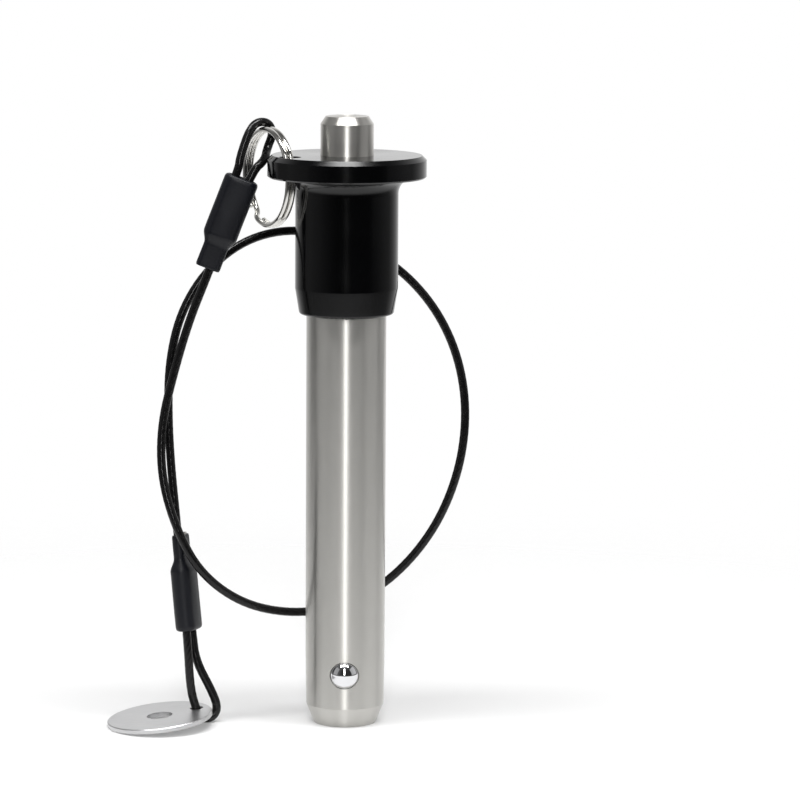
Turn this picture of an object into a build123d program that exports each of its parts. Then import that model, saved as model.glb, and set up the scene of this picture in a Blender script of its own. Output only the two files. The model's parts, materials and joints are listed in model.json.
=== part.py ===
"""Double-acting ball lock pin, 16 mm, with a button handle and a wire-rope lanyard.

Millimetres.  The origin is the centre of the pin's tip face, +Z runs up the pin towards the
button, +X is to the right and +Y points away from the front of the pin.  The pin stands on
its tip, and its lanyard hangs from the flange and ends in a round tab on the ground.
"""
from math import asin, cos, degrees, hypot, pi, radians, sin, sqrt, tan
import os

from build123d import *

# ---------------------------------------------------------------- driving dimensions, mm
# Shank: a hollow stainless pin with a chamfered nose and a spigot inside the handle.
SHANK_RADIUS = 8.0
SHANK_LENGTH = 83.2
NOSE_CHAMFER = 1.7
NOSE_LENGTH = 3.9
LEAD_IN_RELIEF = 0.16
LEAD_IN_LENGTH = 10.7
SHOULDER_CHAMFER = 0.2
SPIGOT_STEP = 1.8
SPIGOT_LENGTH = 13.8
SPIGOT_CHAMFER = 0.4
BORE_PAST_RAMP = 4.5
BORE_CONE_LENGTH = 1.5

# Locking balls, each in a cross hole that is staked over at its mouth.
BALL_RADIUS = 3.0
BALL_HEIGHT = 10.9
BALL_PROUD = 1.5
BALL_SUNK = 0.1
STAKE_DEPTH = 0.9
STAKE_LIP = 0.28

# Button and spindle.
BUTTON_TRAVEL = 5.0
BUTTON_RADIUS = 5.3
BUTTON_PROUD = 7.75
BUTTON_CHAMFER_RADIAL = 1.0
BUTTON_CHAMFER_HEIGHT = 1.5
COLLAR_LENGTH = 2.0
STEM_IN_BUTTON = 8.0
LAND_LENGTH = 5.3
LAND_CHAMFER = 0.5

# Handle: body and flange turned from one bar.
HANDLE_WALL = 2.3
HANDLE_BODY_LENGTH = 27.35
HANDLE_TAPER_LENGTH = 5.2
HANDLE_TAPER = 0.85
HANDLE_CORNER = 0.6
FLANGE_OVERHANG = 5.6
FLANGE_THICKNESS = 4.45
FLANGE_TOP_CHAMFER = 0.9
FLANGE_BOTTOM_CHAMFER = 0.3
UNDER_FLANGE_FILLET = 3.2
BUTTON_HOLE_WEB = 3.85
LANYARD_HOLE_RADIUS = 2.2
LANYARD_HOLE_WALL = 0.16
LANYARD_HOLE_ANGLE = 207.8

# Running and press clearances.
BALL_CLEARANCE = 0.03
LAND_CLEARANCE = 0.05
LAND_PLAY = 0.18
CAM_CLEARANCE = 0.025
STEM_GAP = 0.03
STEM_CLEARANCE = 0.06
BUTTON_CLEARANCE = 0.05
COLLAR_CLEARANCE = 0.1
PRESS_CLEARANCE = 0.01
STOP_GAP = 0.03

# Return spring.
SPRING_WIRE_RADIUS = 0.4
SPRING_MEAN_RADIUS = 4.4
SPRING_TURNS = 5.5

# Split ring: two flat coils of round wire with one crossing.
RING_WIRE_RADIUS = 0.55
RING_MEAN_RADIUS = 9.55
RING_COIL_GAP = 0.02
RING_DROP = 2.5
RING_YAW = 28.4
RING_CROSSING_START = 45.0
RING_CROSSING_SPAN = 22.0
RING_END_GAP = 2.0

# Lanyard cable: plastic-coated wire rope.
CABLE_RADIUS = 0.85
EYE_CLEARANCE = 0.14
STRAND_GAP = 0.9
ARC_SHARE = 0.45
SLEEVE_LEAD = 2.4
TAIL_INSIDE = 5.4
NECK_STRAND_OFFSET = 0.5
NECK_BEND_START = 1.9
NECK_BEND_END = 2.2
TAIL_SHOWING = 1.0

# Crimp ferrules and the heat-shrink sleeves over them.
FERRULE_LENGTH = 11.6
FERRULE_WALL = 0.92
FERRULE_INSET = 0.5
SLEEVE_WALL = 0.4
SLEEVE_FIT = 0.03
SLEEVE_BODY_LENGTH = 12.8
SLEEVE_SHOULDER_LENGTH = 1.4
SLEEVE_NECK_LENGTH = 5.2

# Round end tab of the lanyard.
TAB_RADIUS = 10.6
TAB_THICKNESS = 1.0
TAB_SCREW_HOLE_RADIUS = 2.6
TAB_CABLE_HOLE_RADIUS = 1.35
TAB_WEB = 1.35
TAB_EDGE = 0.15

# Lay of the hanging lanyard.
UPPER_SLEEVE_FROM_RING = Vector(-5.25, -2.0, 0.0)
UPPER_SLEEVE_LEAN = 21.1
EYE_SLIP = 3.2
EYE_DROP = 0.5
LOWER_SLEEVE_NECK_END = Vector(-33.3, 0.0, 38.1)
LOWER_SLEEVE_RUN = Vector(0.095, -0.085, -0.992).normalized()
LOWER_SLEEVE_TURN = 71.0
TAB_BEND_PLACE = Vector(-27.8, -2.6, 0.0)
TAB_DIRECTION = 21.7
FLOOR_GAP = 0.04

# ---------------------------------------------------------------- derived sizes and places
UP = Vector(0, 0, 1)


def level_direction(angle):
    """A level unit vector at an angle from +X."""
    return Vector(cos(radians(angle)), sin(radians(angle)), 0)


ball_rest_radius = SHANK_RADIUS + BALL_PROUD - BALL_RADIUS
ball_travel = BALL_PROUD + BALL_SUNK
cam_slope = ball_travel / BUTTON_TRAVEL
land_radius = ball_rest_radius - BALL_RADIUS - LAND_PLAY
land_bore_radius = land_radius + LAND_CLEARANCE
stem_radius = ball_rest_radius - ball_travel - BALL_RADIUS - STEM_GAP
stem_bore_radius = stem_radius + STEM_CLEARANCE
cam_radius_at_ball = ball_rest_radius - BALL_RADIUS * hypot(1, cam_slope) - CAM_CLEARANCE
ramp_start = BALL_HEIGHT + (cam_radius_at_ball - land_radius) / cam_slope
ramp_end = BALL_HEIGHT + (cam_radius_at_ball - stem_radius) / cam_slope
land_start = ramp_start - LAND_LENGTH
land_bore_depth = ramp_end + BORE_PAST_RAMP

spigot_radius = SHANK_RADIUS - SPIGOT_STEP
spigot_top = SHANK_LENGTH + SPIGOT_LENGTH
handle_radius = SHANK_RADIUS + HANDLE_WALL
handle_bore_radius = spigot_radius + PRESS_CLEARANCE
flange_radius = handle_radius + FLANGE_OVERHANG
flange_underside = SHANK_LENGTH + HANDLE_BODY_LENGTH
flange_top = flange_underside + FLANGE_THICKNESS
flange_mid = flange_underside + FLANGE_THICKNESS / 2
ceiling = flange_top - BUTTON_HOLE_WEB
collar_top = ceiling - STOP_GAP
collar_bottom = collar_top - COLLAR_LENGTH
button_top = flange_top + BUTTON_PROUD
stem_top = collar_bottom + STEM_IN_BUTTON
button_socket_radius = stem_radius + PRESS_CLEARANCE

lanyard_hole_reach = handle_radius + LANYARD_HOLE_RADIUS + LANYARD_HOLE_WALL
lanyard_hole = level_direction(LANYARD_HOLE_ANGLE) * lanyard_hole_reach
ring_out = level_direction(90 + RING_YAW)
ring_axis = level_direction(180 + RING_YAW)
ring_coil_offset = RING_WIRE_RADIUS + RING_COIL_GAP / 2
ring_reach = sqrt(RING_MEAN_RADIUS**2 - RING_DROP**2)
ring_centre = lanyard_hole + ring_out * ring_reach + UP * (flange_mid - RING_DROP)


def turned(points):
    """A solid of revolution about Z from (radius, height) points."""
    with BuildPart() as solid:
        with BuildSketch(Plane.XZ):
            with BuildLine():
                Polyline(points, close=True)
            make_face()
        revolve(axis=Axis.Z)
    return solid.part


# ---------------------------------------------------------------- the pin
def make_shank():
    """Hollow shank: nose, lead-in, bearing length and the spigot pressed into the handle."""
    shoulder = SHANK_LENGTH - SHOULDER_CHAMFER
    cone_top = land_bore_depth + BORE_CONE_LENGTH
    body = turned([
        (land_bore_radius, 0),
        (SHANK_RADIUS - NOSE_CHAMFER, 0),
        (SHANK_RADIUS - LEAD_IN_RELIEF, NOSE_LENGTH),
        (SHANK_RADIUS, NOSE_LENGTH + LEAD_IN_LENGTH),
        (SHANK_RADIUS, shoulder),
        (SHANK_RADIUS - SHOULDER_CHAMFER, SHANK_LENGTH),
        (spigot_radius, SHANK_LENGTH),
        (spigot_radius, spigot_top - SPIGOT_CHAMFER),
        (spigot_radius - SPIGOT_CHAMFER, spigot_top),
        (stem_bore_radius, spigot_top),
        (stem_bore_radius, cone_top),
        (land_bore_radius, land_bore_depth),
    ])
    return body - ball_hole(1) - ball_hole(-1)


def ball_hole(side):
    """The cutter of one ball hole: straight, then closing to the staked lip."""
    straight_end = SHANK_RADIUS - STAKE_DEPTH
    cutter_end = SHANK_RADIUS + STAKE_DEPTH
    hole_radius = BALL_RADIUS + BALL_CLEARANCE
    lip_radius = BALL_RADIUS - STAKE_LIP
    with BuildPart() as cutter:
        with BuildSketch(Plane.XY):
            with BuildLine():
                Polyline(
                    (0, 0), (hole_radius, 0), (hole_radius, straight_end),
                    (lip_radius, SHANK_RADIUS), (lip_radius, cutter_end),
                    (0, cutter_end), close=True,
                )
            make_face()
        revolve(axis=Axis.Y)
    turn = 0 if side > 0 else 180
    return Pos(0, 0, BALL_HEIGHT) * Rot(0, 0, turn) * cutter.part


def make_ball(side):
    return Pos(0, side * ball_rest_radius, BALL_HEIGHT) * Sphere(BALL_RADIUS)


def make_spindle():
    """Cam spindle: the land holds the balls out, the ramp lets them in as it moves down."""
    return turned([
        (0, land_start),
        (land_radius - LAND_CHAMFER, land_start),
        (land_radius, land_start + LAND_CHAMFER),
        (land_radius, ramp_start),
        (stem_radius, ramp_end),
        (stem_radius, stem_top),
        (0, stem_top),
    ])


def make_button():
    """Push button with the collar that stops under the flange."""
    collar_radius = handle_bore_radius - COLLAR_CLEARANCE
    socket_top = stem_top + PRESS_CLEARANCE
    return turned([
        (button_socket_radius, collar_bottom),
        (collar_radius, collar_bottom),
        (collar_radius, collar_top),
        (BUTTON_RADIUS, collar_top),
        (BUTTON_RADIUS, button_top - BUTTON_CHAMFER_HEIGHT),
        (BUTTON_RADIUS - BUTTON_CHAMFER_RADIAL, button_top),
        (0, button_top),
        (0, socket_top),
        (button_socket_radius, socket_top),
    ])


def make_handle():
    """Handle body, flange, spring bore, button hole and the lanyard hole."""
    taper_top = SHANK_LENGTH + HANDLE_TAPER_LENGTH
    mouth_radius = handle_radius - HANDLE_TAPER
    button_hole_radius = BUTTON_RADIUS + BUTTON_CLEARANCE
    with BuildPart() as handle:
        with BuildSketch(Plane.XZ) as section:
            with BuildLine():
                Polyline(
                    (handle_bore_radius, SHANK_LENGTH),
                    (mouth_radius, SHANK_LENGTH),
                    (handle_radius, taper_top),
                    (handle_radius, flange_underside),
                    (flange_radius, flange_underside),
                    (flange_radius, flange_top),
                    (button_hole_radius, flange_top),
                    (button_hole_radius, ceiling),
                    (handle_bore_radius, ceiling),
                    close=True,
                )
            make_face()
            corner = section.vertices().sort_by_distance(
                (mouth_radius, SHANK_LENGTH))[0]
            fillet(corner, HANDLE_CORNER)
            inner = section.vertices().sort_by_distance(
                (handle_radius, flange_underside))[0]
            fillet(inner, UNDER_FLANGE_FILLET)
            top_rim = section.vertices().sort_by_distance((flange_radius, flange_top))[0]
            chamfer(top_rim, FLANGE_TOP_CHAMFER)
            bottom_rim = section.vertices().sort_by_distance(
                (flange_radius, flange_underside))[0]
            chamfer(bottom_rim, FLANGE_BOTTOM_CHAMFER)
        revolve(axis=Axis.Z)
    hole = Cylinder(LANYARD_HOLE_RADIUS, 2 * FLANGE_THICKNESS)
    return handle.part - Pos(lanyard_hole.X, lanyard_hole.Y, flange_mid) * hole


def make_spring():
    """Return spring between the spigot and the button's collar."""
    lead = collar_bottom - spigot_top - 2 * SPRING_WIRE_RADIUS - 2 * STOP_GAP
    with BuildPart() as spring:
        with BuildLine() as coil:
            Helix(pitch=lead / SPRING_TURNS, height=lead, radius=SPRING_MEAN_RADIUS)
        with BuildSketch(Plane(origin=coil.line @ 0, z_dir=coil.line % 0)):
            Circle(SPRING_WIRE_RADIUS)
        sweep()
    return Pos(0, 0, spigot_top + STOP_GAP + SPRING_WIRE_RADIUS) * spring.part


# ---------------------------------------------------------------- the split ring
def ring_coil(side, start):
    """One flat coil of the ring, a torus sector in the ring's own plane."""
    sweep_angle = 360 - RING_CROSSING_SPAN - RING_END_GAP
    with BuildPart() as coil:
        with BuildSketch(Plane.XZ):
            with Locations((RING_MEAN_RADIUS, side * ring_coil_offset)):
                Circle(RING_WIRE_RADIUS)
        revolve(axis=Axis.Z, revolution_arc=sweep_angle)
    return Rot(0, 0, start) * coil.part


def ring_crossing():
    """The short run of wire that passes from the rear coil to the front coil: two tangent arcs."""
    start = level_direction(RING_CROSSING_START)
    middle = level_direction(RING_CROSSING_START + RING_CROSSING_SPAN / 2)
    end = level_direction(RING_CROSSING_START + RING_CROSSING_SPAN)
    with BuildPart() as crossing:
        with BuildLine() as path:
            first = TangentArc(
                start * RING_MEAN_RADIUS - UP * ring_coil_offset,
                middle * hypot(RING_MEAN_RADIUS, ring_coil_offset),
                tangent=UP.cross(start))
            TangentArc(
                first @ 1, end * RING_MEAN_RADIUS + UP * ring_coil_offset, tangent=first % 1)
        with BuildSketch(Plane(origin=path.wire() @ 0, z_dir=path.wire() % 0)):
            Circle(RING_WIRE_RADIUS)
        sweep()
    return crossing.part


def make_split_ring():
    crossing_end = RING_CROSSING_START + RING_CROSSING_SPAN
    rear = ring_coil(-1, crossing_end + RING_END_GAP)
    front = ring_coil(1, crossing_end)
    place = Plane(origin=ring_centre, x_dir=ring_out, z_dir=ring_axis)
    return place * (rear + ring_crossing() + front)


# ---------------------------------------------------------------- the lanyard
sleeve_length = SLEEVE_BODY_LENGTH + SLEEVE_SHOULDER_LENGTH + SLEEVE_NECK_LENGTH
strand_pitch = 2 * CABLE_RADIUS + STRAND_GAP
strand = strand_pitch / 2
ferrule_depth = 2 * (CABLE_RADIUS + SLEEVE_FIT + FERRULE_WALL)

upper_lean = radians(UPPER_SLEEVE_LEAN)
upper_along = Vector(-sin(upper_lean), 0, -cos(upper_lean))
upper_across = Vector(cos(upper_lean), 0, -sin(upper_lean))
upper_eye_end = ring_centre + UPPER_SLEEVE_FROM_RING
upper_neck_end = upper_eye_end + upper_along * sleeve_length

lower_along = LOWER_SLEEVE_RUN
lower_side = level_direction(LOWER_SLEEVE_TURN)
lower_across = (lower_side - lower_along * lower_side.dot(lower_along)).normalized()
lower_eye_end = LOWER_SLEEVE_NECK_END + lower_along * sleeve_length

eye_bend_radius = CABLE_RADIUS + RING_WIRE_RADIUS + EYE_CLEARANCE + hypot(
    ring_coil_offset, EYE_DROP)
tab_out = level_direction(TAB_DIRECTION)
tab_web_reach = TAB_RADIUS - TAB_WEB / 2
tab_bend_radius = TAB_WEB / 2 + TAB_CABLE_HOLE_RADIUS
tab_bend_z = CABLE_RADIUS + FLOOR_GAP + tab_bend_radius
tab_web_rise = tab_bend_z - FLOOR_GAP - TAB_THICKNESS / 2
tab_tilt = degrees(asin(tab_web_rise / (TAB_RADIUS + tab_web_reach)))
tab_centre = TAB_BEND_PLACE - tab_out * tab_web_reach


def bend_corners(centre, side, up, radius):
    """Four corner points that carry a cable round a half turn of the given radius."""
    half_run = radius * tan(radians(30))
    return [
        centre + side * 2 * half_run,
        centre + side * half_run + up * radius,
        centre - side * half_run + up * radius,
        centre - side * 2 * half_run,
    ]


def cable_points():
    """Corner points of the one cable, from its upper tail end to its lower tail end."""
    over_ring = ring_centre + ring_out * EYE_SLIP
    over_ring += UP * (sqrt(RING_MEAN_RADIUS**2 - EYE_SLIP**2) - EYE_DROP)
    ring_bend = bend_corners(over_ring, ring_axis, UP, eye_bend_radius)
    tab_bend = bend_corners(
        TAB_BEND_PLACE + UP * tab_bend_z, tab_out * -1, UP * -1, tab_bend_radius)
    upper_tail = upper_across * -strand
    upper_main = upper_across * strand
    neck_main = upper_across * NECK_STRAND_OFFSET
    neck_start = FERRULE_INSET + FERRULE_LENGTH + NECK_BEND_START
    lower_tail = lower_across * strand
    lower_main = lower_across * -strand
    return [
        upper_neck_end - upper_along * TAIL_INSIDE + upper_tail,
        upper_eye_end - upper_along * SLEEVE_LEAD + upper_tail,
        ring_centre + Vector(-5.0, -1.1, 6.2),
        *ring_bend,
        ring_centre + Vector(-0.3, 3.1, 5.4),
        ring_centre + Vector(-1.5, 0.9, 2.9),
        upper_eye_end - upper_along * SLEEVE_LEAD + upper_main,
        upper_eye_end + upper_along * neck_start + upper_main,
        upper_neck_end - upper_along * NECK_BEND_END + neck_main,
        upper_neck_end + upper_along * SLEEVE_LEAD + neck_main,
        Vector(-31.5, 0.0, 81.5),
        Vector(-34.5, 0.0, 71.3),
        Vector(-37.1, -0.5, 60.5),
        Vector(-37.0, -2.0, 50.0),
        Vector(-34.0, -3.8, 40.0),
        Vector(-29.2, -3.8, 31.0),
        Vector(-21.5, 0.5, 24.2),
        Vector(-12.5, 6.5, 20.8),
        Vector(-3.0, 11.0, 20.7),
        Vector(6.5, 12.3, 24.7),
        Vector(14.2, 12.5, 31.9),
        Vector(20.0, 12.5, 41.0),
        Vector(23.6, 12.5, 52.0),
        Vector(24.4, 12.5, 63.5),
        Vector(22.2, 12.6, 74.5),
        Vector(17.1, 12.8, 84.2),
        Vector(9.3, 13.0, 92.0),
        Vector(-0.8, 13.0, 97.0),
        Vector(-11.0, 12.2, 99.0),
        Vector(-20.3, 8.0, 97.3),
        Vector(-28.1, 4.2, 91.5),
        Vector(-33.3, 2.4, 83.0),
        Vector(-35.6, 2.0, 73.0),
        Vector(-35.8, 1.3, 62.5),
        Vector(-35.2, 0.3, 52.0),
        LOWER_SLEEVE_NECK_END - lower_along * SLEEVE_LEAD + lower_main,
        lower_eye_end + lower_along * SLEEVE_LEAD + lower_main,
        Vector(-31.2, -3.4, 7.4),
        *tab_bend,
        Vector(-26.9, -1.8, 6.4),
        Vector(-29.9, -1.4, 12.0),
        lower_eye_end + lower_along * SLEEVE_LEAD + lower_tail,
        LOWER_SLEEVE_NECK_END - lower_along * TAIL_SHOWING + lower_tail,
    ]


def make_cable():
    """The coated wire rope: straight runs joined by tangent arcs."""
    points = cable_points()
    radii = []
    for before, here, after in zip(points, points[1:], points[2:]):
        turn = (here - before).get_angle(after - here)
        shorter = min((here - before).length, (after - here).length)
        radii.append(ARC_SHARE * shorter / tan(radians(turn / 2)))
    with BuildPart() as cable:
        with BuildLine() as path:
            FilletPolyline(*points, radius=radii)
        with BuildSketch(Plane(origin=path.wire() @ 0, z_dir=path.wire() % 0)):
            Circle(CABLE_RADIUS)
        sweep()
    length = path.wire().length
    print("cable arc radii:", " ".join(f"{radius:.1f}" for radius in radii))
    print(f"cable length {length:.1f}, volume {cable.part.volume:.1f},",
          f"section times length {pi * CABLE_RADIUS ** 2 * length:.1f}")
    return cable.part


def oval_prism(width, depth, start, end):
    """A straight bar of rounded-end oval section along Z."""
    with BuildPart() as bar:
        with BuildSketch(Plane.XY.offset(start)):
            SlotOverall(width, depth)
        extrude(amount=end - start)
    return bar.part


def oval_transition(width, depth, start, next_width, next_depth, end):
    """A loft from one oval section to the next along Z."""
    with BuildPart() as shoulder:
        with BuildSketch(Plane.XY.offset(start)):
            SlotOverall(width, depth)
        with BuildSketch(Plane.XY.offset(end)):
            SlotOverall(next_width, next_depth)
        loft()
    return shoulder.part


def shrink_form(grow, overrun):
    """The stepped form of a shrunk sleeve, grown outwards by the given wall."""
    depth = ferrule_depth + 2 * (SLEEVE_FIT + grow)
    width = depth + strand_pitch
    neck_depth = 2 * (CABLE_RADIUS + SLEEVE_FIT + grow)
    neck_width = neck_depth + strand_pitch
    shoulder_end = SLEEVE_BODY_LENGTH + SLEEVE_SHOULDER_LENGTH
    form = oval_prism(width, depth, -overrun, SLEEVE_BODY_LENGTH)
    form += oval_transition(
        width, depth, SLEEVE_BODY_LENGTH, neck_width, neck_depth, shoulder_end)
    form += oval_prism(neck_width, neck_depth, shoulder_end, sleeve_length + overrun)
    return form


def make_sleeve(place):
    return place * (shrink_form(SLEEVE_WALL, 0) - shrink_form(0, SLEEVE_WALL))


def make_ferrule(place):
    """Oval crimp ferrule with a bore for each strand."""
    end = FERRULE_INSET + FERRULE_LENGTH
    body = oval_prism(ferrule_depth + strand_pitch, ferrule_depth, FERRULE_INSET, end)
    for side in (-strand, strand):
        bore = Pos(side, 0, end / 2) * Cylinder(CABLE_RADIUS + SLEEVE_FIT, 2 * end)
        body -= bore
    return place * body


def make_tab():
    """Round end tab, resting on its rim and on the cable that passes under its edge."""
    blank = Pos(0, 0, TAB_THICKNESS / 2) * Cylinder(TAB_RADIUS, TAB_THICKNESS)
    blank = chamfer(blank.edges().filter_by(GeomType.CIRCLE), TAB_EDGE)
    blank -= Cylinder(TAB_SCREW_HOLE_RADIUS, 4 * TAB_THICKNESS)
    cable_hole_place = TAB_RADIUS - TAB_WEB - TAB_CABLE_HOLE_RADIUS
    blank -= Pos(cable_hole_place, 0, 0) * Cylinder(TAB_CABLE_HOLE_RADIUS, 4 * TAB_THICKNESS)
    on_edge = Pos(TAB_RADIUS, 0, 0) * blank
    tilted = Rot(0, -tab_tilt, 0) * on_edge
    start = tab_centre - tab_out * TAB_RADIUS + UP * FLOOR_GAP
    return Pos(start.X, start.Y, start.Z) * Rot(0, 0, TAB_DIRECTION) * tilted


# ---------------------------------------------------------------- build and export
upper_place = Plane(origin=upper_eye_end, x_dir=upper_across, z_dir=upper_along)
lower_place = Plane(origin=lower_eye_end, x_dir=lower_across, z_dir=lower_along * -1)

nodes = {
    "shank": make_shank(),
    "handle": make_handle(),
    "button": make_button(),
    "spindle": make_spindle(),
    "return_spring": make_spring(),
    "ball_front": make_ball(-1),
    "ball_back": make_ball(1),
    "split_ring": make_split_ring(),
    "lanyard_cable": make_cable(),
    "upper_ferrule": make_ferrule(upper_place),
    "lower_ferrule": make_ferrule(lower_place),
    "upper_shrink_sleeve": make_sleeve(upper_place),
    "lower_shrink_sleeve": make_sleeve(lower_place),
    "end_tab": make_tab(),
}

os.makedirs("parts", exist_ok=True)
for name, solid in nodes.items():
    export_step(solid, f"parts/{name}.step")
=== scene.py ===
"""Looks of the ball lock pin: its finishes, its coated lanyard, a pale studio and the camera.

Metres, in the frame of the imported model: the pin stands on its tip at the origin, +Z runs up
to the button, +X is to the right and +Y points away from the camera.
"""
import json
import math

import bmesh
import bpy
from mathutils import Matrix, Vector, noise


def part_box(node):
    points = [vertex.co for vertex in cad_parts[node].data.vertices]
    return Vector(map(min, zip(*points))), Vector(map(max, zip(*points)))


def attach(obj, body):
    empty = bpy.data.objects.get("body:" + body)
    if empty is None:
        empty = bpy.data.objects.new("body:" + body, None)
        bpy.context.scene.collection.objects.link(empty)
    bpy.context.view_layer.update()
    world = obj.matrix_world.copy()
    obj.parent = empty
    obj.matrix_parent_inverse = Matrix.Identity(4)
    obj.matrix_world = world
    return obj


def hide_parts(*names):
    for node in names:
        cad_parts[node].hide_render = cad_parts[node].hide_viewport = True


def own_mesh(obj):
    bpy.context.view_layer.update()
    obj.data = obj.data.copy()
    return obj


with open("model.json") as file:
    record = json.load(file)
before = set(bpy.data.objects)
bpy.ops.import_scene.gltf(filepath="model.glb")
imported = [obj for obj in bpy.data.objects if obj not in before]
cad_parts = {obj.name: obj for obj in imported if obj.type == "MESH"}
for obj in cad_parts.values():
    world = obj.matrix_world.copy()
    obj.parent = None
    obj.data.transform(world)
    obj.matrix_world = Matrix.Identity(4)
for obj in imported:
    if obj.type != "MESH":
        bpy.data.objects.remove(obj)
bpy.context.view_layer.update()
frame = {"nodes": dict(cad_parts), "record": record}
nodes = frame["nodes"]
joints = {joint["name"]: joint for joint in frame["record"]["behaviour"]["joints"]}

# ---------------------------------------------------------------- sizes and places
# Camera.
CAMERA_TARGET = Vector((0.010825, 0.0, 0.065783))
CAMERA_DISTANCE = 0.85175
CAMERA_PITCH = 8.3
CAMERA_ROLL = 0.3447
CAMERA_LENS_MM = 191.0
SENSOR_MM = 36.0

# Split ring, as in the solids.
RING_WIRE_RADIUS = 0.00055
RING_MEAN_RADIUS = 0.00955
RING_COIL_OFFSET = 0.00056

# Cable. The solid's radius sets its route, and the coat is the outside that shows.
CABLE_RADIUS = 0.00085
COAT_RADIUS = 0.000875
STRANDS = 6
SIDES_PER_STRAND = 6
STRAND_LAY = 0.009
STRAND_RIDGE = 0.000016

# Bare wire that shows at the cable's lower tail end.
CORE_RADIUS = 0.0006
CORE_RIDGE = 0.00016
CORE_SHOWING = 0.0006
CORE_LEAN = Vector((0.00022, 0.0, 0.0))
CORE_STEPS = 8

# Return spring.
SPRING_WIRE_RADIUS = 0.0004
SPRING_TURNS = 5.5
SPRING_STEPS = 220

# Ferrules and the heat-shrink sleeves over them.
FERRULE_INSET = 0.0005
FERRULE_LENGTH = 0.0116
SLEEVE_LENGTH = 0.0194
SLEEVE_SHOULDER_START = 0.0128
SLEEVE_SHOULDER_END = 0.0142
SLEEVE_SOFT_BEFORE = 0.0007
SLEEVE_SOFT_AFTER = 0.0006
SLEEVE_WALL = 0.0004
SLEEVE_BODY_DEPTH = 0.00223
SLEEVE_NECK_DEPTH = 0.00128
SLEEVE_MOUTH_ROUNDING = 0.0009
SLEEVE_MOUTH_CURL = 0.0006
SLEEVE_NECK_CURL = 0.00012
SLEEVE_NECK_CURL_LENGTH = 0.0004
SLEEVE_DENT = 0.00009
SLEEVE_DENTS_PER_METRE = 330
SLEEVE_CROWN = 2.6
SLEEVE_BORE_CROWN = 40.0
SLEEVE_SHARP_EDGE = 40
SLEEVE_SIDES = 72
SLEEVE_STEPS = 88

# Lay of the cable's strands in the sleeves, and of its eyes.
STRAND_GAP = 0.0009
SLEEVE_LEAD = 0.0024
NECK_STRAND_OFFSET = 0.0005
NECK_BEND_START = 0.0019
NECK_BEND_END = 0.0022
UPPER_TAIL_INSIDE = 0.0054
LOWER_TAIL_INSIDE = 0.0002
EYE_CLEARANCE = 0.00014
EYE_SLIP = 0.0032
EYE_DROP = 0.0005
EYE_TAIL_LEAD = 0.00128
EYE_MAIN_LEAD = 0.00193
TAB_BEND_RADIUS = 0.002025
FLOOR_GAP = 0.00004

# Places of the sleeves and the tab. Leans, turns and directions are in degrees.
UPPER_SLEEVE_FROM_RING = Vector((-0.00525, -0.002, 0.0))
UPPER_SLEEVE_LEAN = 21.1
LOWER_SLEEVE_NECK_END = Vector((-0.0333, 0.0, 0.0381))
LOWER_SLEEVE_RUN = Vector((0.095, -0.085, -0.992)).normalized()
LOWER_SLEEVE_TURN = 71.0
TAB_BEND_PLACE = Vector((-0.0278, -0.0026, 0.0))
TAB_DIRECTION = 21.7

# Finishes.
TURNING_STRETCH = (0.02, 0.02, 1.0)
STREAK_TURN = 0.25

# Studio. Room levels are the brightness that is reflected from each azimuth, in degrees, with
# 0 on the camera's side. The two ends come first, as a new ramp already has two stops.
FLOOR_RADIUS = 0.45
FLOOR_SIDES = 96
FLOOR_FADE_START = 0.1
FLOOR_FADE_END = 0.26
FLOOR_ALBEDO = 0.7
FLOOR_LIFT = 0.17
LAMP_TARGET = Vector((0, 0, 0.06))
ROOM_FILL = 0.35
ROOM_ABOVE = 0.1
ROOM_STEEP_START = 0.6
ROOM_STEEP_END = 0.95
ROOM_LEVELS = (
    (-180, 1.0), (180, 1.0), (-165, 0.8), (-150, 0.68), (-134, 0.45), (-116, 0.12), (-104, 0.16),
    (-90, 0.2), (-60, 0.14), (-35, 0.06), (-20, 0.03), (50, 0.03), (72, 0.08), (90, 0.15),
    (110, 0.2), (124, 0.38), (140, 0.62), (156, 0.9),
)

UP = Vector((0, 0, 1))


def level_direction(angle):
    """A level unit vector at an angle, in degrees, from +X."""
    return Vector((math.cos(math.radians(angle)), math.sin(math.radians(angle)), 0))


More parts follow.
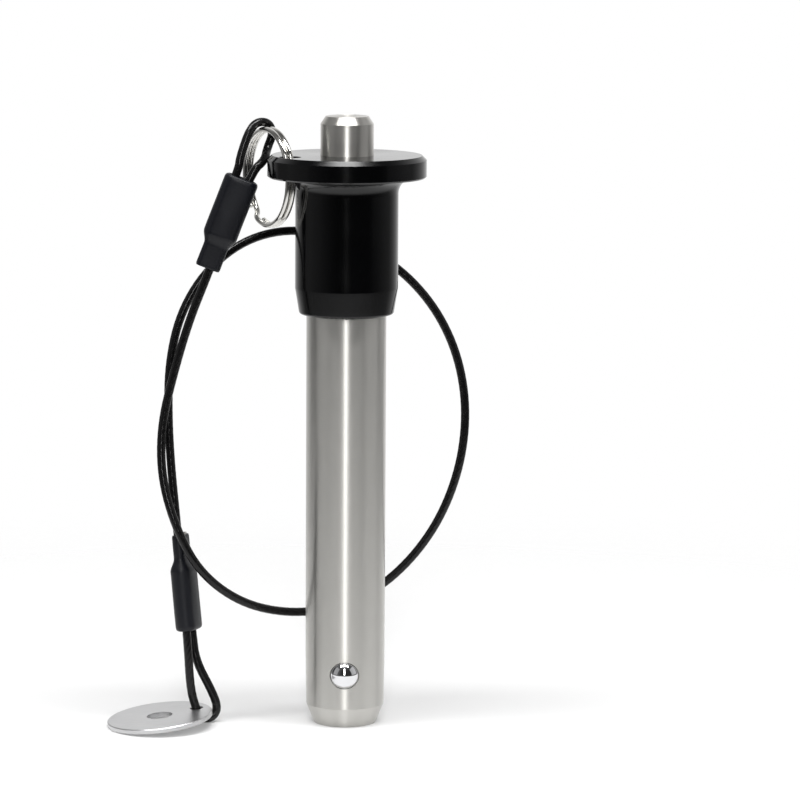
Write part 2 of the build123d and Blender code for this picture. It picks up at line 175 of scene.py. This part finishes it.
# ---------------------------------------------------------------- node graphs
class Graph:
    """A small hand for building one material's or the world's nodes."""

    def __init__(self, owner):
        owner.use_nodes = True
        self.tree = owner.node_tree
        self.tree.nodes.clear()

    def add(self, kind, inputs=None, **settings):
        """A node with its settings, and its inputs set to values or linked to sockets."""
        node = self.tree.nodes.new(kind)
        for name, value in settings.items():
            setattr(node, name, value)
        for key, value in (inputs or {}).items():
            socket = node.inputs[key]
            if isinstance(value, bpy.types.NodeSocket):
                self.tree.links.new(value, socket)
            else:
                socket.default_value = value
        return node

    def math(self, operation, first, second=0.5):
        node = self.add("ShaderNodeMath", {0: first, 1: second}, operation=operation)
        return node.outputs[0]

    def span(self, value, from_low, from_high, to_low, to_high, smooth=False):
        """The value mapped from one range to another, clamped."""
        kind = "SMOOTHSTEP" if smooth else "LINEAR"
        inputs = {
            "Value": value, "From Min": from_low, "From Max": from_high,
            "To Min": to_low, "To Max": to_high,
        }
        return self.add("ShaderNodeMapRange", inputs, interpolation_type=kind).outputs["Result"]

    def place(self, scale=(1, 1, 1)):
        """Object coordinates, scaled along each axis."""
        where = self.add("ShaderNodeTexCoord").outputs["Object"]
        return self.add("ShaderNodeMapping", {"Vector": where, "Scale": scale}).outputs[0]

    def noise(self, vector, scale, detail=3.0, roughness=0.5):
        inputs = {"Vector": vector, "Scale": scale, "Detail": detail, "Roughness": roughness}
        return self.add("ShaderNodeTexNoise", inputs).outputs["Fac"]

    def mix_colour(self, amount, first, second):
        node = self.add("ShaderNodeMix", data_type="RGBA")
        for index, value in ((0, amount), (6, first), (7, second)):
            if isinstance(value, bpy.types.NodeSocket):
                self.tree.links.new(value, node.inputs[index])
            else:
                node.inputs[index].default_value = value
        return node.outputs[2]

    def bump(self, height, distance, strength=1.0, normal=None):
        inputs = {"Height": height, "Distance": distance, "Strength": strength}
        if normal is not None:
            inputs["Normal"] = normal
        return self.add("ShaderNodeBump", inputs).outputs["Normal"]

    def around_z(self):
        """The tangent that runs round the Z axis."""
        return self.add("ShaderNodeTangent", direction_type="RADIAL", axis="Z").outputs[0]

    def finish(self, shader):
        self.add("ShaderNodeOutputMaterial", {"Surface": shader.outputs[0]})


def new_material(name):
    material = bpy.data.materials.new(name)
    return material, Graph(material)


def opaque(red, green, blue):
    return (red, green, blue, 1.0)


# ---------------------------------------------------------------- finishes
def turned_metal(name, colour, roughness, anisotropy, line_scale, line_depth, smudge=0.04):
    """Metal ground or turned about the Z axis: fine rings of grinding lines round the piece."""
    material, graph = new_material(name)
    lines = graph.noise(graph.place(TURNING_STRETCH), line_scale, detail=5.0, roughness=0.65)
    clouds = graph.noise(graph.place(), 90.0, detail=2.0)
    tint = graph.math("MULTIPLY", clouds, 0.5)
    tint = graph.math("ADD", tint, graph.math("MULTIPLY", lines, 0.5))
    darker = opaque(*(0.9 * channel for channel in colour))
    base = graph.mix_colour(tint, darker, opaque(*colour))
    rough = graph.span(lines, 0.3, 0.7, roughness - smudge, roughness + smudge)
    bsdf = graph.add("ShaderNodeBsdfPrincipled", {
        "Base Color": base, "Metallic": 1.0, "Roughness": rough, "Anisotropic": anisotropy,
        "Anisotropic Rotation": STREAK_TURN, "Tangent": graph.around_z(),
        "Normal": graph.bump(lines, line_depth),
    })
    graph.finish(bsdf)
    return material


def black_anodised():
    """Gloss black anodised aluminium with faint turning lines."""
    material, graph = new_material("black_anodised_turned")
    lines = graph.noise(graph.place(TURNING_STRETCH), 2600.0, detail=4.0)
    clouds = graph.noise(graph.place(), 140.0, detail=3.0)
    base = graph.mix_colour(clouds, opaque(0.0002, 0.0003, 0.0005), opaque(0.0008, 0.0009, 0.0013))
    rough = graph.span(clouds, 0.3, 0.7, 0.11, 0.15)
    bsdf = graph.add("ShaderNodeBsdfPrincipled", {
        "Base Color": base, "Roughness": rough, "Anisotropic": 0.6,
        "Anisotropic Rotation": STREAK_TURN, "Tangent": graph.around_z(),
        "Specular IOR Level": 0.45, "Normal": graph.bump(lines, 0.0000015),
    })
    graph.finish(bsdf)
    return material


def polished_metal(name, colour, roughness, mark_scale=700.0, mark_depth=0.000002):
    """Bright plated or polished metal with light handling marks."""
    material, graph = new_material(name)
    marks = graph.noise(graph.place(), mark_scale, detail=4.0)
    rough = graph.span(marks, 0.35, 0.65, roughness * 0.6, roughness * 1.5)
    darker = opaque(*(0.93 * channel for channel in colour))
    base = graph.mix_colour(marks, darker, opaque(*colour))
    bsdf = graph.add("ShaderNodeBsdfPrincipled", {
        "Base Color": base, "Metallic": 1.0, "Roughness": rough,
        "Normal": graph.bump(marks, mark_depth),
    })
    graph.finish(bsdf)
    return material


def heat_shrink():
    """Matt navy-black heat-shrink tubing, a little uneven where it has drawn in."""
    material, graph = new_material("heat_shrink_matt")
    grain = graph.noise(graph.place(), 5200.0, detail=3.0)
    waves = graph.noise(graph.place((1.0, 1.0, 0.45)), 420.0, detail=2.0)
    base = graph.mix_colour(waves, opaque(0.0025, 0.003, 0.0055), opaque(0.005, 0.006, 0.01))
    rough = graph.span(grain, 0.3, 0.7, 0.36, 0.48)
    normal = graph.bump(waves, 0.00006, 0.6)
    bsdf = graph.add("ShaderNodeBsdfPrincipled", {
        "Base Color": base, "Roughness": rough, "Specular IOR Level": 0.35,
        "Normal": graph.bump(grain, 0.000012, 0.6, normal),
    })
    graph.finish(bsdf)
    return material


def cable_coat():
    """Gloss black plastic coat over wire rope."""
    material, graph = new_material("cable_coat_gloss")
    grain = graph.noise(graph.place(), 1500.0, detail=3.0)
    base = graph.mix_colour(grain, opaque(0.003, 0.003, 0.0035), opaque(0.008, 0.0075, 0.0075))
    rough = graph.span(grain, 0.3, 0.7, 0.16, 0.24)
    bsdf = graph.add("ShaderNodeBsdfPrincipled", {
        "Base Color": base, "Roughness": rough, "Specular IOR Level": 0.3,
        "Normal": graph.bump(grain, 0.000003, 0.5),
    })
    graph.finish(bsdf)
    return material


def satin_tab():
    """Stamped stainless sheet, rolled along one way, with a satin face."""
    material, graph = new_material("tab_satin_steel")
    lines = graph.noise(graph.place((0.05, 1.0, 1.0)), 3200.0, detail=4.0)
    clouds = graph.noise(graph.place(), 160.0, detail=3.0)
    base = graph.mix_colour(clouds, opaque(0.56, 0.56, 0.57), opaque(0.66, 0.66, 0.66))
    rough = graph.span(lines, 0.3, 0.7, 0.3, 0.42)
    bsdf = graph.add("ShaderNodeBsdfPrincipled", {
        "Base Color": base, "Metallic": 1.0, "Roughness": rough,
        "Normal": graph.bump(lines, 0.000004),
    })
    graph.finish(bsdf)
    return material


def dress(node, material):
    """Puts one finish on a CAD node."""
    slots = nodes[node].data.materials
    slots.clear()
    slots.append(material)


steel = turned_metal(
    "ground_stainless", (0.64, 0.63, 0.6), roughness=0.38, anisotropy=0.9,
    line_scale=5200.0, line_depth=0.000001)
button_steel = turned_metal(
    "turned_stainless", (0.72, 0.705, 0.67), roughness=0.4, anisotropy=0.85,
    line_scale=3600.0, line_depth=0.0000015)
spring_steel = polished_metal("spring_wire", (0.4, 0.4, 0.41), roughness=0.25)
ball_chrome = polished_metal("ball_polish", (0.82, 0.82, 0.84), roughness=0.05)
nickel = polished_metal(
    "ring_nickel", (0.72, 0.71, 0.68), roughness=0.12, mark_scale=120.0, mark_depth=0.0000002)
ferrule_metal = polished_metal("ferrule_aluminium", (0.7, 0.7, 0.7), roughness=0.3)
bare_wire = polished_metal("bare_wire_rope", (0.55, 0.53, 0.5), roughness=0.4)

for part, finish in {
    "shank": steel,
    "spindle": steel,
    "button": button_steel,
    "handle": black_anodised(),
    "ball_front": ball_chrome,
    "ball_back": ball_chrome,
    "split_ring": nickel,
    "upper_ferrule": ferrule_metal,
    "lower_ferrule": ferrule_metal,
    "end_tab": satin_tab(),
}.items():
    dress(part, finish)


# ---------------------------------------------------------------- the lanyard cable
strand = CABLE_RADIUS + STRAND_GAP / 2
ring_joint = joints["ring_turn"]
ring_centre = Vector(ring_joint["pos_m"])
ring_axis = Vector(ring_joint["axis"])
ring_out = UP.cross(ring_axis) * -1

upper_lean = math.radians(UPPER_SLEEVE_LEAN)
upper_along = Vector((-math.sin(upper_lean), 0, -math.cos(upper_lean)))
upper_across = Vector((math.cos(upper_lean), 0, -math.sin(upper_lean)))
upper_eye_end = ring_centre + UPPER_SLEEVE_FROM_RING
upper_neck_end = upper_eye_end + upper_along * SLEEVE_LENGTH

lower_along = LOWER_SLEEVE_RUN
lower_side = level_direction(LOWER_SLEEVE_TURN)
lower_across = (lower_side - lower_along * lower_side.dot(lower_along)).normalized()
lower_eye_end = LOWER_SLEEVE_NECK_END + lower_along * SLEEVE_LENGTH


def bend_corners(centre, side, up, radius):
    """Four corner points that carry a cable round a half turn of the given radius."""
    half_run = radius * math.tan(math.radians(30))
    return [
        centre + side * 2 * half_run,
        centre + side * half_run + up * radius,
        centre - side * half_run + up * radius,
        centre - side * 2 * half_run,
    ]


def cable_route():
    """The cable's route, from its upper tail end round the loop to its lower tail end.

    The points repeat the solid's, with two exceptions. Those of the upper eye's legs, and the
    two eye leads, come from a fit to the photograph. The lower tail ends inside its sleeve.
    """
    eye_bend_radius = CABLE_RADIUS + RING_WIRE_RADIUS + EYE_CLEARANCE + math.hypot(
        RING_COIL_OFFSET, EYE_DROP)
    over_ring = ring_centre + ring_out * EYE_SLIP
    over_ring += UP * (math.sqrt(RING_MEAN_RADIUS**2 - EYE_SLIP**2) - EYE_DROP)
    tab_bend_place = TAB_BEND_PLACE + UP * (CABLE_RADIUS + FLOOR_GAP + TAB_BEND_RADIUS)
    tab_inwards = level_direction(TAB_DIRECTION) * -1
    neck_start = FERRULE_INSET + FERRULE_LENGTH + NECK_BEND_START
    neck_main = upper_across * NECK_STRAND_OFFSET
    return [
        upper_neck_end - upper_along * UPPER_TAIL_INSIDE - upper_across * strand,
        upper_eye_end - upper_along * EYE_TAIL_LEAD - upper_across * strand,
        ring_centre + Vector((-0.00577, -0.0018, 0.00373)),
        ring_centre + Vector((-0.00491, -0.00041, 0.00658)),
        ring_centre + Vector((-0.00406, 0.00065, 0.0089)),
        *bend_corners(over_ring, ring_axis, UP, eye_bend_radius)[1:3],
        ring_centre + Vector((0.0007, 0.00485, 0.00845)),
        ring_centre + Vector((-0.00059, 0.00428, 0.00523)),
        ring_centre + Vector((-0.00085, 0.0004, 0.00333)),
        upper_eye_end - upper_along * EYE_MAIN_LEAD + upper_across * strand,
        upper_eye_end + upper_along * neck_start + upper_across * strand,
        upper_neck_end - upper_along * NECK_BEND_END + neck_main,
        upper_neck_end + upper_along * SLEEVE_LEAD + neck_main,
        Vector((-0.0315, 0.0, 0.0815)),
        Vector((-0.0345, 0.0, 0.0713)),
        Vector((-0.0371, -0.0005, 0.0605)),
        Vector((-0.037, -0.002, 0.05)),
        Vector((-0.034, -0.0038, 0.04)),
        Vector((-0.0292, -0.0038, 0.031)),
        Vector((-0.0215, 0.0005, 0.0242)),
        Vector((-0.0125, 0.0065, 0.0208)),
        Vector((-0.003, 0.011, 0.0207)),
        Vector((0.0065, 0.0123, 0.0247)),
        Vector((0.0142, 0.0125, 0.0319)),
        Vector((0.02, 0.0125, 0.041)),
        Vector((0.0236, 0.0125, 0.052)),
        Vector((0.0244, 0.0125, 0.0635)),
        Vector((0.0222, 0.0126, 0.0745)),
        Vector((0.0171, 0.0128, 0.0842)),
        Vector((0.0093, 0.013, 0.092)),
        Vector((-0.0008, 0.013, 0.097)),
        Vector((-0.011, 0.0122, 0.099)),
        Vector((-0.0203, 0.008, 0.0973)),
        Vector((-0.0281, 0.0042, 0.0915)),
        Vector((-0.0333, 0.0024, 0.083)),
        Vector((-0.0356, 0.002, 0.073)),
        Vector((-0.0358, 0.0013, 0.0625)),
        Vector((-0.0352, 0.0003, 0.052)),
        LOWER_SLEEVE_NECK_END - lower_along * SLEEVE_LEAD - lower_across * strand,
        lower_eye_end + lower_along * SLEEVE_LEAD - lower_across * strand,
        Vector((-0.0312, -0.0034, 0.0074)),
        *bend_corners(tab_bend_place, tab_inwards, UP * -1, TAB_BEND_RADIUS),
        Vector((-0.0269, -0.0018, 0.0064)),
        Vector((-0.0299, -0.0014, 0.012)),
        lower_eye_end + lower_along * SLEEVE_LEAD + lower_across * strand,
        LOWER_SLEEVE_NECK_END + lower_along * LOWER_TAIL_INSIDE + lower_across * strand,
    ]


def line_points(route):
    """Points along the route's own NURBS spline."""
    curve = bpy.data.curves.new("cable_line", "CURVE")
    curve.dimensions = "3D"
    spline = curve.splines.new("NURBS")
    spline.points.add(len(route) - 1)
    for point, place in zip(spline.points, route):
        point.co = (*place, 1.0)
    spline.order_u = 3
    spline.use_endpoint_u = True
    spline.resolution_u = 32
    holder = bpy.data.objects.new("cable_line", curve)
    line = bpy.data.meshes.new_from_object(holder)
    points = [vertex.co.copy() for vertex in line.vertices]
    bpy.data.objects.remove(holder)
    bpy.data.curves.remove(curve)
    bpy.data.meshes.remove(line)
    return points


def skin(shape, rings, closed=False):
    """Smooth faces from each ring to the next, and from the last to the first if closed."""
    following_rings = rings[1:] + rings[:1] if closed else rings[1:]
    for ring, following in zip(rings, following_rings):
        for side in range(len(ring)):
            beside = (side + 1) % len(ring)
            face = shape.faces.new((ring[side], ring[beside], following[beside], following[side]))
            face.smooth = True


def add_piece(name, shape, material):
    """Makes the finished shape a piece of one finish that rides the pin."""
    mesh = bpy.data.meshes.new(name)
    shape.to_mesh(mesh)
    shape.free()
    mesh.materials.append(material)
    piece = bpy.data.objects.new(name, mesh)
    bpy.context.scene.collection.objects.link(piece)
    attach(piece, "pin")
    return piece


def rope(name, points, radius, ridge, material):
    """A closed tube along the points, with one low lobe for each of its twisted strands."""
    sides = STRANDS * SIDES_PER_STRAND
    shape = bmesh.new()
    rings = []
    across = (points[1] - points[0]).orthogonal().normalized()
    travelled = 0.0
    for index, point in enumerate(points):
        before = points[max(index - 1, 0)]
        after = points[min(index + 1, len(points) - 1)]
        along = (after - before).normalized()
        across = (across - along * across.dot(along)).normalized()
        side_way = along.cross(across)
        travelled += (point - before).length
        twist = 2 * math.pi * travelled / STRAND_LAY
        ring = []
        for side in range(sides):
            turn = 2 * math.pi * side / sides
            reach = radius - ridge * (1 - math.cos(STRANDS * turn)) / 2
            where = across * math.cos(turn + twist) + side_way * math.sin(turn + twist)
            ring.append(shape.verts.new(point + where * reach))
        rings.append(ring)
    skin(shape, rings)
    for end in (list(reversed(rings[0])), rings[-1]):
        for edge in shape.faces.new(end).edges:
            edge.smooth = False
    return add_piece(name, shape, material)


# ---------------------------------------------------------------- the return spring
def coil_spring():
    """The hidden spring under the button, built as a fixed coil that rides the pin."""
    low, high = (Vector(corner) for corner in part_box("return_spring"))
    start = low.z + SPRING_WIRE_RADIUS
    rise = high.z - low.z - 2 * SPRING_WIRE_RADIUS
    mean_radius = high.x - SPRING_WIRE_RADIUS
    points = []
    for step in range(SPRING_STEPS + 1):
        share = step / SPRING_STEPS
        points.append(level_direction(360 * SPRING_TURNS * share) * mean_radius
                      + UP * (start + rise * share))
    spring = rope("coil_spring", points, SPRING_WIRE_RADIUS, 0.0, spring_steel)
    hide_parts("return_spring")
    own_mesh(spring)


# ---------------------------------------------------------------- the heat-shrink sleeves
def sleeve_section(along, depth, crown):
    """One ring of points round both strands. The smaller the crown, the more its flats bow."""
    points = []
    for side in range(SLEEVE_SIDES):
        turn = 2 * math.pi * side / SLEEVE_SIDES
        offset = max(-1.0, min(1.0, crown * math.cos(turn)))
        points.append(Vector((
            depth * math.cos(turn) + strand * offset, depth * math.sin(turn), along)))
    return points


def ease(start, end, value):
    """Goes smoothly from 0 at the start to 1 at the end."""
    share = max(0.0, min(1.0, (value - start) / (end - start)))
    return share * share * (3 - 2 * share)


def sleeve_outline():
    """Half depth along the outside: a curled mouth, a soft shoulder and a curled neck end."""
    shoulder_start = SLEEVE_SHOULDER_START - SLEEVE_SOFT_BEFORE
    shoulder_end = SLEEVE_SHOULDER_END + SLEEVE_SOFT_AFTER
    outline = []
    for step in range(SLEEVE_STEPS + 1):
        along = SLEEVE_LENGTH * step / SLEEVE_STEPS
        if along < SLEEVE_MOUTH_ROUNDING:
            rest = 1 - along / SLEEVE_MOUTH_ROUNDING
            depth = SLEEVE_BODY_DEPTH - SLEEVE_MOUTH_CURL * (1 - math.sqrt(1 - rest * rest))
        else:
            fall = ease(shoulder_start, shoulder_end, along)
            depth = SLEEVE_BODY_DEPTH + (SLEEVE_NECK_DEPTH - SLEEVE_BODY_DEPTH) * fall
        from_end = SLEEVE_LENGTH - along
        depth -= SLEEVE_NECK_CURL * ease(SLEEVE_NECK_CURL_LENGTH, 0.0, from_end)
        outline.append((along, depth))
    return outline


def shrunk_sleeve(name, replaced, start, along_axis, across_axis, phase):
    """A sleeve drawn down over its ferrule, with faint dents that the phase sets apart."""
    outer = sleeve_outline()
    bore = SLEEVE_BODY_DEPTH - SLEEVE_WALL
    neck_bore = SLEEVE_NECK_DEPTH - SLEEVE_WALL
    mouth = outer[0][1]
    inner = [
        (SLEEVE_LENGTH, neck_bore), (SLEEVE_SHOULDER_END, neck_bore),
        (SLEEVE_SHOULDER_START, bore), (FERRULE_INSET, bore),
        (FERRULE_INSET * 0.8, mouth - SLEEVE_WALL), (FERRULE_INSET * 0.2, mouth - SLEEVE_WALL),
    ]
    phase_shift = Vector((phase, 0, 0))
    shape = bmesh.new()
    rings = []
    for along, depth in outer:
        ring = []
        for point in sleeve_section(along, depth, SLEEVE_CROWN):
            outwards = Vector((point.x, point.y, 0)).normalized()
            place = Vector((point.x, point.y, point.z * 0.5)) * SLEEVE_DENTS_PER_METRE
            dent = noise.noise(place + phase_shift)
            ring.append(shape.verts.new(point - outwards * SLEEVE_DENT * (0.5 + 0.5 * dent)))
        rings.append(ring)
    for along, depth in inner:
        section = sleeve_section(along, depth, SLEEVE_BORE_CROWN)
        rings.append([shape.verts.new(point) for point in section])
    skin(shape, rings, closed=True)
    lay = Matrix((
        across_axis, along_axis.cross(across_axis), along_axis)).transposed().to_4x4()
    lay.translation = start
    shape.transform(lay)
    for edge in shape.edges:
        edge.smooth = edge.calc_face_angle(0.0) < math.radians(SLEEVE_SHARP_EDGE)
    piece = add_piece(name, shape, heat_shrink())
    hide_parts(replaced)
    return piece


route = cable_route()
cable_line = line_points(route)
cable = rope("cable", cable_line, COAT_RADIUS, STRAND_RIDGE, cable_coat())
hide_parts("lanyard_cable")

core_start = route[-1] + lower_along * CORE_SHOWING + CORE_LEAN
core_line = [
    core_start - lower_along * 2 * CORE_SHOWING * step / CORE_STEPS
    for step in range(CORE_STEPS + 1)
]
core = rope("cable_core", core_line, CORE_RADIUS, CORE_RIDGE, bare_wire)

coil_spring()

sleeves = [
    shrunk_sleeve(
        "upper_sleeve", "upper_shrink_sleeve", upper_eye_end, upper_along, upper_across,
        phase=0.0),
    shrunk_sleeve(
        "lower_sleeve", "lower_shrink_sleeve", lower_eye_end, lower_along * -1, lower_across,
        phase=7.0),
]


# ---------------------------------------------------------------- studio
def seen_directly(graph):
    """1 for camera, glossy and transmission rays, 0 for the rays that light the object."""
    path = graph.add("ShaderNodeLightPath")
    first = graph.math("ADD", path.outputs["Is Camera Ray"], path.outputs["Is Glossy Ray"])
    node = graph.add(
        "ShaderNodeMath", {0: first, 1: path.outputs["Is Transmission Ray"]},
        operation="ADD", use_clamp=True)
    return node.outputs[0]


def make_floor():
    """A round pale floor that keeps the shadow and fades to the white background."""
    mesh = bpy.data.meshes.new("floor")
    turns = [2 * math.pi * side / FLOOR_SIDES for side in range(FLOOR_SIDES)]
    ring = [
        (FLOOR_RADIUS * math.cos(turn), FLOOR_RADIUS * math.sin(turn), 0.0) for turn in turns
    ]
    mesh.from_pydata(ring, [], [list(range(FLOOR_SIDES))])
    floor = bpy.data.objects.new("floor", mesh)
    bpy.context.scene.collection.objects.link(floor)
    material, graph = new_material("floor_paper")
    where = graph.add("ShaderNodeTexCoord").outputs["Object"]
    reach = graph.add("ShaderNodeVectorMath", {0: where}, operation="LENGTH").outputs["Value"]
    fade = graph.span(reach, FLOOR_FADE_START, FLOOR_FADE_END, 0.0, 1.0, smooth=True)
    paper = graph.add("ShaderNodeBsdfDiffuse", {"Color": opaque(*[FLOOR_ALBEDO] * 3)})
    lift = graph.add("ShaderNodeEmission", {
        "Color": opaque(1, 1, 1),
        "Strength": graph.math("MULTIPLY", seen_directly(graph), FLOOR_LIFT)})
    lit = graph.add("ShaderNodeAddShader", {0: paper.outputs[0], 1: lift.outputs[0]})
    beyond = graph.add("ShaderNodeBsdfTransparent")
    mixed = graph.add("ShaderNodeMixShader", {
        0: fade, 1: lit.outputs[0], 2: beyond.outputs[0]})
    graph.finish(mixed)
    mesh.materials.append(material)


def make_world():
    """White to the camera, a room that is only reflected, and an even fill light."""
    world = bpy.data.worlds.new("studio")
    bpy.context.scene.world = world
    graph = Graph(world)
    path = graph.add("ShaderNodeLightPath")
    direction = graph.add("ShaderNodeTexCoord").outputs["Generated"]
    axes = graph.add("ShaderNodeSeparateXYZ", {0: direction}).outputs
    azimuth = graph.math("ARCTAN2", axes["X"], graph.math("MULTIPLY", axes["Y"], -1.0))
    share = graph.math("ADD", graph.math("DIVIDE", azimuth, 2 * math.pi), 0.5)
    ramp = graph.add("ShaderNodeValToRGB", {"Fac": share})
    stops = ramp.color_ramp.elements
    for index, (angle, level) in enumerate(ROOM_LEVELS):
        place = angle / 360 + 0.5
        stop = stops[index] if index in (0, 1) else stops.new(place)
        stop.position = place
        stop.color = opaque(level, level, level)
    level_room = graph.add("ShaderNodeRGBToBW", {0: ramp.outputs["Color"]}).outputs[0]
    steep = graph.span(
        graph.math("ABSOLUTE", axes["Z"]), ROOM_STEEP_START, ROOM_STEEP_END, 0.0, 1.0, smooth=True)
    room_around = graph.math("MULTIPLY", level_room, graph.math("SUBTRACT", 1.0, steep))
    room = graph.math("ADD", room_around, graph.math("MULTIPLY", steep, ROOM_ABOVE))
    glossy = path.outputs["Is Glossy Ray"]
    reflected = graph.math("MULTIPLY", glossy, room)
    direct = graph.add(
        "ShaderNodeMath",
        {0: path.outputs["Is Camera Ray"], 1: path.outputs["Is Transmission Ray"]},
        operation="ADD", use_clamp=True).outputs[0]
    others = graph.math("SUBTRACT", 1.0, graph.add(
        "ShaderNodeMath", {0: direct, 1: glossy}, operation="ADD", use_clamp=True).outputs[0])
    strength = graph.math("ADD", reflected, direct)
    strength = graph.math("ADD", strength, graph.math("MULTIPLY", others, ROOM_FILL))
    background = graph.add("ShaderNodeBackground", {
        "Color": opaque(1, 1, 1), "Strength": strength})
    graph.add("ShaderNodeOutputWorld", {"Surface": background.outputs[0]})


def softbox(name, azimuth, elevation, distance, width, height, power):
    """An area lamp that faces the middle of the pin. Azimuth 0 is the camera's side."""
    lamp = bpy.data.lights.new(name, "AREA")
    lamp.shape = "RECTANGLE"
    lamp.size = width
    lamp.size_y = height
    lamp.energy = power
    holder = bpy.data.objects.new(name, lamp)
    bpy.context.scene.collection.objects.link(holder)
    turn = math.radians(azimuth)
    rise = math.radians(elevation)
    away = Vector((
        math.sin(turn) * math.cos(rise), -math.cos(turn) * math.cos(rise), math.sin(rise)))
    holder.location = LAMP_TARGET + away * distance
    holder.rotation_mode = "QUATERNION"
    holder.rotation_quaternion = away.to_track_quat("Z", "Y")


def make_camera():
    """The camera at the photograph's viewing angle."""
    data = bpy.data.cameras.new("camera")
    data.lens = CAMERA_LENS_MM
    data.sensor_width = SENSOR_MM
    data.clip_start = 0.01
    data.clip_end = 20.0
    camera = bpy.data.objects.new("camera", data)
    bpy.context.scene.collection.objects.link(camera)
    tilt = Matrix.Rotation(math.radians(90 - CAMERA_PITCH), 4, "X")
    roll = Matrix.Rotation(math.radians(CAMERA_ROLL), 4, "Z")
    back = (tilt @ Vector((0, 0, 1))).normalized()
    place = Matrix.Translation(CAMERA_TARGET + back * CAMERA_DISTANCE)
    camera.matrix_world = place @ tilt @ roll
    bpy.context.scene.camera = camera


make_floor()
make_world()
softbox(
    "top_box", azimuth=0, elevation=80, distance=0.9, width=0.9, height=0.16, power=8)
softbox(
    "front_strip", azimuth=0, elevation=30, distance=1.2, width=0.14, height=1.1, power=5.6)
softbox(
    "left_box", azimuth=-75, elevation=22, distance=1.1, width=0.75, height=0.9, power=0.45)
softbox(
    "right_box", azimuth=82, elevation=22, distance=1.1, width=0.95, height=0.9, power=1.1)
make_camera()
bpy.context.scene.view_settings.view_transform = "Standard"
